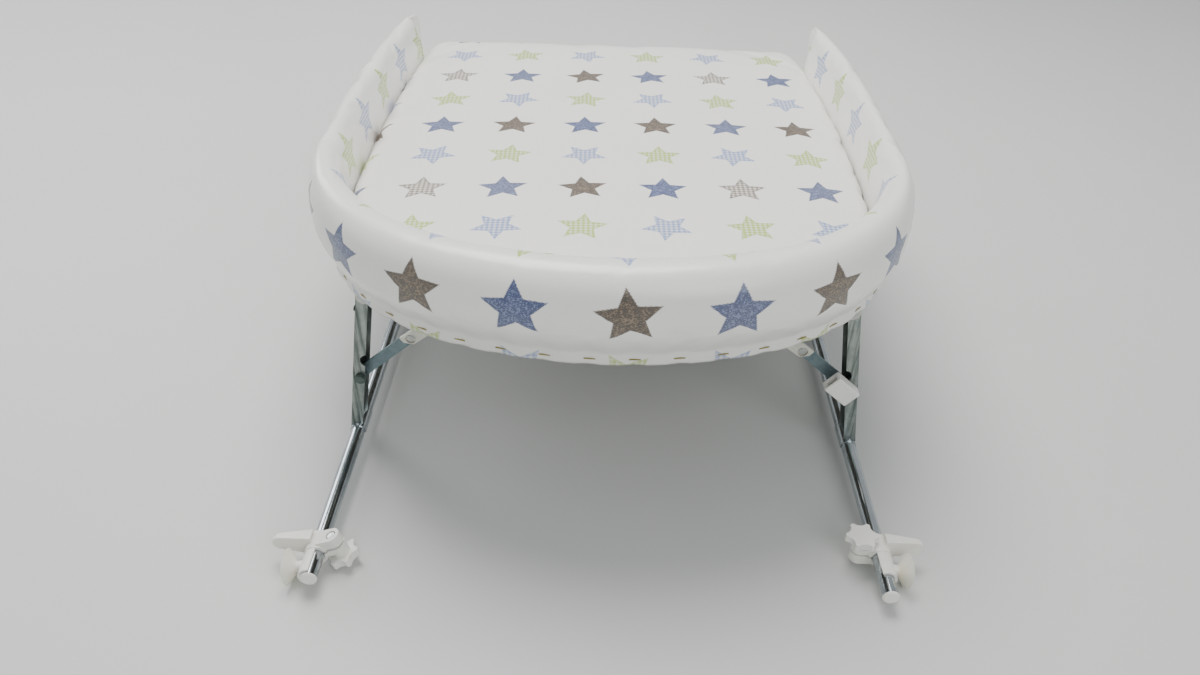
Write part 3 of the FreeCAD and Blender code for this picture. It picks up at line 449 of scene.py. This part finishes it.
def outline(distance):
    """Point and outward direction on the outer outline, a distance from its front."""
    way = 1.0 if distance >= 0 else -1.0
    run = abs(distance)
    if run < BOW_LENGTH:
        centre, radius, turn = CENTRES[0], BOW, run / BOW
    elif run < BOW_LENGTH + CORNER_LENGTH:
        centre, radius, turn = CENTRES[1], CORNER, BOW_TURN + (run - BOW_LENGTH) / CORNER
    else:
        centre, radius = CENTRES[2], SIDE
        turn = CORNER_TURN + (run - BOW_LENGTH - CORNER_LENGTH) / SIDE
    outward = Vector((math.sin(turn), -math.cos(turn)))
    point = centre + radius * outward
    return Vector((way * point.x, point.y)), Vector((way * outward.x, outward.y)), turn


def smooth(value):
    value = min(max(value, 0.0), 1.0)
    return value * value * (3 - 2 * value)


# ---------------------------------------------------------------- mesh tools
def mesh_object(name, verts, faces, material):
    mesh = bpy.data.meshes.new(name)
    mesh.from_pydata([tuple(v) for v in verts], [], faces)
    mesh.validate()
    mesh.update()
    obj = bpy.data.objects.new(name, mesh)
    bpy.context.scene.collection.objects.link(obj)
    mesh.shade_smooth()
    assign(obj, material)
    return obj


def catmull(points, steps):
    """Smooth run through 2-D points."""
    ends = [2 * points[0] - points[1]] + points + [2 * points[-1] - points[-2]]
    run = []
    for a, b, c, d in zip(ends, ends[1:], ends[2:], ends[3:]):
        for k in range(steps):
            t = k / steps
            run.append(0.5 * ((2 * b) + (c - a) * t + (2 * a - 5 * b + 4 * c - d) * t * t
                              + (3 * b - a - 3 * c + d) * t ** 3))
    run.append(points[-1])
    return run


CLOTH_FRAMES = 20


def settle_cloth(obj, hold, pressure, growth, cap):
    """Swell a closed skin and let its cloth grow, so that it creases by itself.
    hold is 1 for each fixed vertex, and no vertex moves further than cap."""
    group = obj.vertex_groups.new(name="hold")
    for index, weight in enumerate(hold):
        group.add([index], weight, "REPLACE")
    modifier = obj.modifiers.new("cloth", "CLOTH")
    cloth = modifier.settings
    cloth.quality = 6
    cloth.mass = 0.3
    cloth.vertex_group_mass = group.name
    cloth.pin_stiffness = 1.0
    cloth.tension_stiffness = 20.0
    cloth.compression_stiffness = 20.0
    cloth.shear_stiffness = 8.0
    cloth.bending_stiffness = 0.6
    cloth.shrink_min = -growth
    cloth.use_pressure = True
    cloth.uniform_pressure_force = pressure
    cloth.effector_weights.gravity = 0.0
    modifier.collision_settings.use_collision = False
    modifier.point_cache.frame_start = 1
    modifier.point_cache.frame_end = CLOTH_FRAMES
    for frame_number in range(1, CLOTH_FRAMES + 1):
        bpy.context.scene.frame_set(frame_number)
    settled = obj.evaluated_get(bpy.context.evaluated_depsgraph_get())
    moved = [vertex.co.copy() for vertex in settled.data.vertices]
    obj.modifiers.remove(modifier)
    obj.vertex_groups.remove(group)
    bpy.context.scene.frame_set(1)
    for vertex, place in zip(obj.data.vertices, moved):
        step = place - vertex.co
        if step.length > 1e-7:
            vertex.co += step.normalized() * cap * math.tanh(step.length / cap)
    obj.data.update()


# ------------------------------------------------------------------- the rim
RIM_STATIONS = 300
SECTION_STEPS = 4
STAPLE_REACH = 0.014                               # from a staple to the full slack beside it
PUCKER, PULL = 0.0016, 0.0004                      # how far the slack stands out and a staple pulls in
WING_PINCH, WING_LENGTH = 0.80, 0.055              # share of the thickness lost at the wing's end
WING_SLOPE, WING_SLOPE_LENGTH = 0.006, 0.20        # fall of the top towards the wing's end
WING_TIP, WING_TIP_LENGTH = 0.010, 0.012           # extra fall at the very end


def staple_places():
    """Middle of each staple, from the corners of its mesh."""
    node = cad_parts["staples"]
    clusters = []
    for vertex in node.data.vertices:
        place = node.matrix_world @ vertex.co
        near = next((c for c in clusters if (c[0] - place).length < 0.016), None)
        if near is None:
            clusters.append([place])
        else:
            near.append(place)
    return [sum(c, Vector()) / len(c) for c in clusters]


def rim_section(thick, height, skirt):
    """The rim's cross-section as (inset from the outline, z), from the board's
    lower edge out to the fold, up the face, over the top and down to the crease."""
    base = BAND_TOP
    rise = height - base
    shape = [(0.0, 0.40), (0.0, 0.58), (0.075, 0.80), (0.26, 0.955), (0.46, 1.0),
             (0.68, 0.965), (0.87, 0.83), (0.97, 0.60), (1.0, 0.34), (0.985, 0.06)]
    band = [(skirt, LIP_Z), (skirt, LIP_Z + 0.008), (skirt - 0.0006, base - 0.003),
            (0.55 * skirt, base + 0.009), (0.14 * skirt, FOLD_Z - 0.001), (0.03 * skirt, FOLD_Z + 0.003)]
    points = [Vector(place) for place in band]
    points += [Vector((x * thick, base + z * rise)) for x, z in shape]
    return catmull(points, SECTION_STEPS)


def staple_runs(stations):
    """Distance along the outline of each staple that lies beside the rim."""
    runs = []
    for place in staple_places():
        gaps = [((outline(run)[0] - place.xy).length, run) for run in stations]
        gap, run = min(gaps)
        if gap < 2 * SKIRT_INSET:
            runs.append(run)
    return runs


def make_rim(material):
    """Cushion wall: one closed skin from the board's lower edge over the foam."""
    stations = [HALF_LENGTH * (2 * k / RIM_STATIONS - 1) for k in range(RIM_STATIONS + 1)]
    staples = staple_runs(stations)
    verts, maps, rows, hold = [], [], [], []
    for run in stations:
        point, outward, turn = outline(run)
        to_staple = min(abs(run - staple) for staple in staples)
        between = smooth(to_staple / STAPLE_REACH)
        thick = RIM_SIDE_THICK + (RIM_FRONT_THICK - RIM_SIDE_THICK) * max(math.cos(turn), 0.0) ** 1.3
        to_end = HALF_LENGTH - abs(run)
        pinch = 1.0 - WING_PINCH * smooth(1.0 - to_end / WING_LENGTH) ** 1.5
        height = (TOP_Z - WING_SLOPE * smooth(1.0 - to_end / WING_SLOPE_LENGTH)
                  - WING_TIP * smooth(1.0 - to_end / WING_TIP_LENGTH))
        section = rim_section(thick, height, SKIRT_INSET)
        middle = thick / 2
        row = []
        across = 0.0
        previous = None
        for x, z in section:
            lift = smooth((z - BAND_TOP) / 0.02)
            x = middle + (x - middle) * (1 - (1 - pinch) * lift)
            ripple = 0.0008 * noise.noise(Vector((run * 9.0, z * 18.0, 1.3)))
            low = 1.0 - smooth((z - BAND_TOP) / 0.026)
            pucker = low * (PUCKER * between - PULL)
            puff = ripple * lift + (pucker if x < middle else 0.0)
            hold.append(1.0 if z < BAND_TOP - 0.004 or x > 0.93 * thick else 0.10)
            here = Vector((x, z))
            if previous is not None:
                across += (here - previous).length
            previous = here
            place = point - outward * (x - puff)
            verts.append(Vector((place.x, place.y, z)))
            maps.append((run, across))
            row.append(len(verts) - 1)
        rows.append(row)
    faces = []
    for a, b in zip(rows, rows[1:]):
        for k in range(len(a) - 1):
            faces.append((a[k], b[k], b[k + 1], a[k + 1]))
        faces.append((a[-1], b[-1], b[0], a[0]))
    faces.append(tuple(reversed(rows[0])))
    faces.append(tuple(rows[-1]))
    rim = mesh_object("rim_cover", verts, faces, material)
    settle_cloth(rim, hold, pressure=4.0, growth=0.006, cap=0.004)
    layer = rim.data.uv_layers.new(name="print")
    for loop in rim.data.loops:
        layer.data[loop.index].uv = maps[loop.vertex_index]
    fix_normals(rim)
    return rim


def fix_normals(obj):
    work = bmesh.new()
    work.from_mesh(obj.data)
    bmesh.ops.recalc_face_normals(work, faces=work.faces)
    work.to_mesh(obj.data)
    work.free()


# ------------------------------------------------------------------- the pad
PAD_BOW, PAD_CORNER, PAD_SIDE = 0.430, 0.224, 2.960
PAD_REAR_CORNER = 0.048
PAD_ROUND = 0.022                                  # width of the rounding at the pad's edge
PAD_ROUND_DEPTH = 0.020
PAD_CROWN = 0.004                                  # how far the middle stands over the edge
PAD_HOLD = 0.15                                    # how firmly the foam keeps the cover's top in place


def pad_half_width(y):
    """Half width of the pad at y, from the same arcs as the CAD outline."""
    front = PAD_BOX[0][1]
    bow = Vector((0, front + PAD_BOW))
    corner = bow + (PAD_BOW - PAD_CORNER) * Vector((math.sin(BOW_TURN), -math.cos(BOW_TURN)))
    side = corner + (PAD_CORNER - PAD_SIDE) * Vector((math.sin(CORNER_TURN), -math.cos(CORNER_TURN)))
    bow_end = bow.y - PAD_BOW * math.cos(BOW_TURN)
    corner_end = corner.y - PAD_CORNER * math.cos(CORNER_TURN)
    if y <= bow_end:
        return math.sqrt(max(PAD_BOW ** 2 - (bow.y - y) ** 2, 0.0))
    if y <= corner_end:
        return corner.x + math.sqrt(max(PAD_CORNER ** 2 - (corner.y - y) ** 2, 0.0))
    width = side.x + math.sqrt(PAD_SIDE ** 2 - (y - side.y) ** 2)
    into = y - (PAD_BOX[1][1] - PAD_REAR_CORNER)
    if into > 0:
        width -= PAD_REAR_CORNER - math.sqrt(max(PAD_REAR_CORNER ** 2 - into ** 2, 0.0))
    return width


def make_pad(material):
    """Crowned foam pad in its cover, rounded over at the sides and the rear."""
    front, rear = PAD_BOX[0][1], PAD_BOX[1][1]
    top, bottom = PAD_BOX[1][2] + 0.002, PAD_BOX[0][2]
    rows, columns = 96, 72
    middle, reach = (front + rear) / 2, (rear - front) / 2
    verts = []
    for side in (1, 0):
        for j in range(rows + 1):
            y = middle - reach * math.cos(math.pi * j / rows)
            width = pad_half_width(min(max(y, front), rear))
            for i in range(columns + 1):
                across = math.sin(math.pi / 2 * (2 * i / columns - 1))
                x = across * width
                edge = min(width * (1 - abs(across)), rear - y, (y - front) * 1.6)
                round_over = 1 - math.sqrt(max(1 - (1 - min(edge / PAD_ROUND, 1.0)) ** 2, 0.0))
                crown = PAD_CROWN * (1 - (x / 0.30) ** 2) * (1 - ((y - 0.03) / 0.36) ** 4)
                ripple = 0.0012 * noise.noise(Vector((x * 9.0, y * 7.0, 4.0)))
                z = top + crown + ripple - round_over * PAD_ROUND_DEPTH if side else bottom
                verts.append(Vector((x, y, z)))
    faces = []
    size = (rows + 1) * (columns + 1)

    def at(side, j, i):
        return (0 if side else size) + j * (columns + 1) + i

    for j in range(rows):
        for i in range(columns):
            faces.append((at(1, j, i), at(1, j, i + 1), at(1, j + 1, i + 1), at(1, j + 1, i)))
            faces.append((at(0, j, i), at(0, j + 1, i), at(0, j + 1, i + 1), at(0, j, i + 1)))
        for i in (0, columns):
            faces.append((at(1, j, i), at(1, j + 1, i), at(0, j + 1, i), at(0, j, i)))
    for j in (0, rows):
        for i in range(columns):
            faces.append((at(1, j, i), at(1, j, i + 1), at(0, j, i + 1), at(0, j, i)))
    pad = mesh_object("pad_cover", verts, faces, material)
    work = bmesh.new()
    work.from_mesh(pad.data)
    bmesh.ops.remove_doubles(work, verts=work.verts, dist=0.0004)
    bmesh.ops.recalc_face_normals(work, faces=work.faces)
    work.to_mesh(pad.data)
    work.free()
    pad.data.shade_smooth()
    hold = [PAD_HOLD if v.co.z > top - 0.014 else 1.0 for v in pad.data.vertices]
    settle_cloth(pad, hold, pressure=4.0, growth=0.008, cap=0.005)
    return pad


# ------------------------------------------------------------ scene and light
CAMERA_LENS = 27.9                                 # millimetres
CAMERA_PLACE = (-0.0086, -1.0528, 0.7423)
CAMERA_ANGLES = (36.31, -0.08, 1.91)               # downward pitch, yaw and roll, degrees


def make_floor():
    n = Nodes("pale_floor")
    vector = n.coordinates()
    cloud = n.noise(vector, 2.5, 3.0)
    n.set(Base_Color=n.mix(cloud, rgb(206, 208, 205), rgb(214, 215, 212)), Roughness=0.55)
    floor = mesh_object("floor", [(-6, -4, 0), (6, -4, 0), (6, 10, 0), (-6, 10, 0)], [(0, 1, 2, 3)],
                        n.material)


def area_light(name, place, target, size, power, colour=(1, 1, 1)):
    data = bpy.data.lights.new(name, "AREA")
    data.shape = "DISK"
    data.size = size
    data.energy = power
    data.color = colour
    lamp = bpy.data.objects.new(name, data)
    bpy.context.scene.collection.objects.link(lamp)
    lamp.location = place
    lamp.rotation_euler = (Vector(target) - Vector(place)).to_track_quat("-Z", "Y").to_euler()


def make_lights():
    area_light("overhead", (-0.3, 0.7, 2.4), (0, 0, 0.2), 1.7, 72.0, (1.0, 0.99, 0.97))
    area_light("front_fill", (1.0, -2.2, 1.7), (0, 0, 0.2), 1.8, 21.0, (0.97, 0.98, 1.0))
    area_light("back_left", (-2.2, 1.8, 1.5), (0, 0, 0.2), 1.4, 24.0, (0.96, 0.98, 1.0))
    world = bpy.data.worlds.new("studio")
    world.use_nodes = True
    world.node_tree.nodes["Background"].inputs[0].default_value = (0.86, 0.89, 0.90, 1)
    world.node_tree.nodes["Background"].inputs[1].default_value = 0.60
    bpy.context.scene.world = world


def make_camera():
    data = bpy.data.cameras.new("camera")
    data.lens = CAMERA_LENS
    data.sensor_width = 36.0
    data.clip_start = 0.01
    camera = bpy.data.objects.new("camera", data)
    bpy.context.scene.collection.objects.link(camera)
    pitch, yaw, roll = (math.radians(angle) for angle in CAMERA_ANGLES)
    turn = (Matrix.Rotation(yaw, 4, "Z") @ Matrix.Rotation(math.pi / 2 - pitch, 4, "X")
            @ Matrix.Rotation(roll, 4, "Z"))
    camera.matrix_world = Matrix.Translation(CAMERA_PLACE) @ turn
    bpy.context.scene.camera = camera


# -------------------------------------------------------------------- build
dress_cad_nodes()
pad = make_pad(pad_vinyl())
rim = make_rim(rim_vinyl())
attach(pad, "board")
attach(rim, "board")
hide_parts("pad_foam")
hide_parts("rim_foam")
make_floor()
make_lights()
make_camera()
